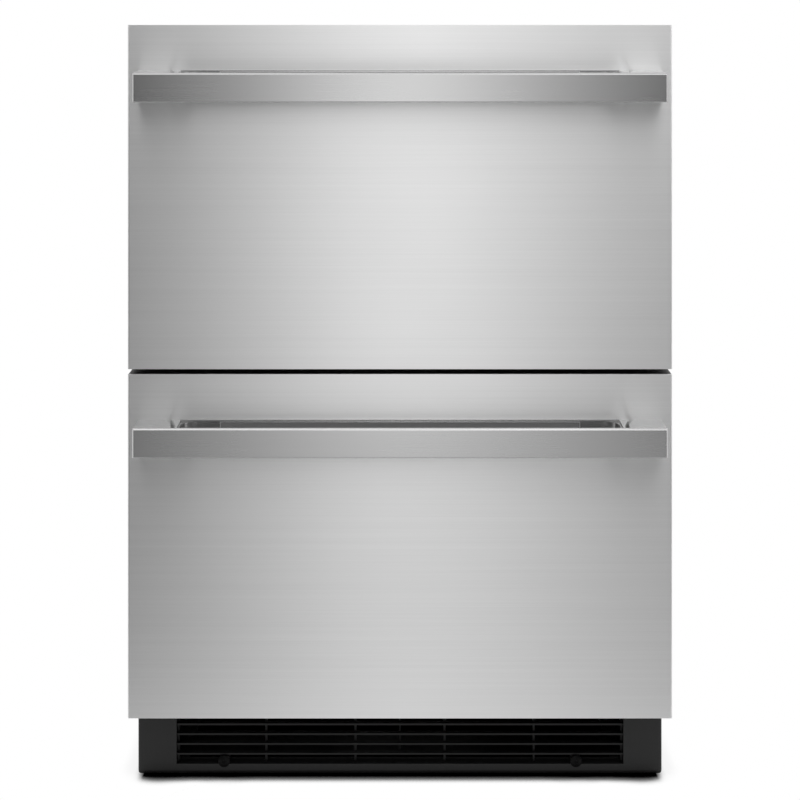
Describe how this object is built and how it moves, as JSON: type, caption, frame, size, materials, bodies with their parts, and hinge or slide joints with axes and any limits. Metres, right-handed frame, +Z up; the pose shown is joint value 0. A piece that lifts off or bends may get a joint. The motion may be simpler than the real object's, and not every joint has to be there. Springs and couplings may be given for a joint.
{
  "type": "undercounter drawer refrigerator",
  "caption": "Undercounter refrigerator with stacked stainless drawers on telescopic slides, full-width bar handles, a black vented base and levelling legs; drawers, fans, buttons and legs move.",
  "frame": {"origin": "on the floor, in the middle of the overall width and depth", "axes": "+Z up, drawers open towards -Y, +X to the right seen from the front"},
  "size_m": [0.606, 0.65, 0.8685],
  "materials": {
    "stainless": "satin",
    "knurled_steel": "matte",
    "cap_black": "matte",
    "base_black": "satin",
    "grille_black": "matte",
    "screw_black": "satin",
    "cabinet_grey": "satin",
    "liner_white": "satin",
    "bin_white": "satin",
    "foam": "matte",
    "gasket_rubber": "matte",
    "zinc_steel": "satin",
    "compressor_black": "satin",
    "fin_aluminium": "satin",
    "coil_black": "matte",
    "copper": "satin",
    "fan_black": "matte",
    "button_grey": "satin",
    "lens": "satin"
  },
  "bodies": {
    "cabinet": {"cabinet_wrapper": "cabinet_grey", "back_panel": "zinc_steel", "cabinet_foam": "foam", "inner_liner": "liner_white", "front_frame": "stainless", "base_frame": "base_black", "kick_panel": "base_black", "kick_grille": "grille_black", "grille_screws": "screw_black", "rear_cover": "zinc_steel", "cord_gland": "grille_black", "compressor": "compressor_black", "compressor_mounts": "gasket_rubber", "condenser": "coil_black", "condenser_fan_shroud": "grille_black", "condenser_fan_motor": "zinc_steel", "drain_pan": "grille_black", "refrigerant_lines": "copper", "evaporator": "fin_aluminium", "evaporator_cover": "liner_white", "evaporator_fan_motor": "grille_black", "control_housing": "liner_white", "light_lens": "lens", "upper_fixed_slides": "zinc_steel", "lower_fixed_slides": "zinc_steel"},
    "upper_drawer": {"upper_front_skin": "stainless", "upper_front_caps": "cap_black", "upper_front_core": "foam", "upper_front_panel": "liner_white", "upper_gasket": "gasket_rubber", "upper_bin": "bin_white", "upper_drawer_slides": "zinc_steel", "upper_handle_bar": "stainless", "upper_handle_ends": "stainless", "upper_handle_rail": "stainless", "upper_handle_grip": "knurled_steel"},
    "upper_slide_middles": {"upper_middle_slides": "zinc_steel"},
    "lower_drawer": {"lower_front_skin": "stainless", "lower_front_caps": "cap_black", "lower_front_core": "foam", "lower_front_panel": "liner_white", "lower_gasket": "gasket_rubber", "lower_bin": "bin_white", "lower_drawer_slides": "zinc_steel", "lower_handle_bar": "stainless", "lower_handle_ends": "stainless", "lower_handle_rail": "stainless", "lower_handle_grip": "knurled_steel"},
    "lower_slide_middles": {"lower_middle_slides": "zinc_steel"},
    "divider": {"upper_divider": "button_grey"},
    "condenser_fan": {"condenser_fan_blade": "fan_black"},
    "evaporator_fan": {"evaporator_fan_blade": "liner_white"},
    "warmer_button": {"warmer_button": "button_grey"},
    "colder_button": {"colder_button": "button_grey"},
    "light_button": {"light_button": "button_grey"},
    "levelling_leg_front_left": {"levelling_leg_front_left": "zinc_steel"},
    "levelling_leg_front_right": {"levelling_leg_front_right": "zinc_steel"},
    "levelling_leg_rear_left": {"levelling_leg_rear_left": "zinc_steel"},
    "levelling_leg_rear_right": {"levelling_leg_rear_right": "zinc_steel"}
  },
  "joints": [
    {"name": "upper_drawer_slide", "type": "slide", "parent": "cabinet", "child": "upper_drawer", "axis": [0, -1, 0], "range_m": [0, 0.4]},
    {"name": "upper_middle_slide", "type": "slide", "parent": "cabinet", "child": "upper_slide_middles", "axis": [0, -1, 0], "range_m": [0, 0.2]},
    {"name": "lower_drawer_slide", "type": "slide", "parent": "cabinet", "child": "lower_drawer", "axis": [0, -1, 0], "range_m": [0, 0.4]},
    {"name": "lower_middle_slide", "type": "slide", "parent": "cabinet", "child": "lower_slide_middles", "axis": [0, -1, 0], "range_m": [0, 0.2]},
    {"name": "divider_slide", "type": "slide", "parent": "upper_drawer", "child": "divider", "axis": [0, 1, 0], "range_m": [-0.15, 0.12]},
    {"name": "condenser_fan_spin", "type": "hinge", "parent": "cabinet", "child": "condenser_fan", "pos_m": [-0.064, 0.2165, 0.103], "axis": [1, 0, 0], "continuous": true},
    {"name": "evaporator_fan_spin", "type": "hinge", "parent": "cabinet", "child": "evaporator_fan", "pos_m": [0, 0.2705, 0.74575], "axis": [0, 1, 0], "continuous": true},
    {"name": "warmer_button_press", "type": "slide", "parent": "cabinet", "child": "warmer_button", "axis": [0, 1, 0], "range_m": [0, 0.0015], "stiffness_N_per_m": 700, "springref_m": -0.0005},
    {"name": "colder_button_press", "type": "slide", "parent": "cabinet", "child": "colder_button", "axis": [0, 1, 0], "range_m": [0, 0.0015], "stiffness_N_per_m": 700, "springref_m": -0.0005},
    {"name": "light_button_press", "type": "slide", "parent": "cabinet", "child": "light_button", "axis": [0, 1, 0], "range_m": [0, 0.0015], "stiffness_N_per_m": 700, "springref_m": -0.0005},
    {"name": "levelling_leg_front_left_screw", "type": "slide", "parent": "cabinet", "child": "levelling_leg_front_left", "axis": [0, 0, -1], "range_m": [0, 0.025]},
    {"name": "levelling_leg_front_right_screw", "type": "slide", "parent": "cabinet", "child": "levelling_leg_front_right", "axis": [0, 0, -1], "range_m": [0, 0.025]},
    {"name": "levelling_leg_rear_left_screw", "type": "slide", "parent": "cabinet", "child": "levelling_leg_rear_left", "axis": [0, 0, -1], "range_m": [0, 0.025]},
    {"name": "levelling_leg_rear_right_screw", "type": "slide", "parent": "cabinet", "child": "levelling_leg_rear_right", "axis": [0, 0, -1], "range_m": [0, 0.025]}
  ],
  "couplings": [
    {"joint": "upper_middle_slide", "follows": "upper_drawer_slide", "ratio": 0.5},
    {"joint": "lower_middle_slide", "follows": "lower_drawer_slide", "ratio": 0.5}
  ]
}
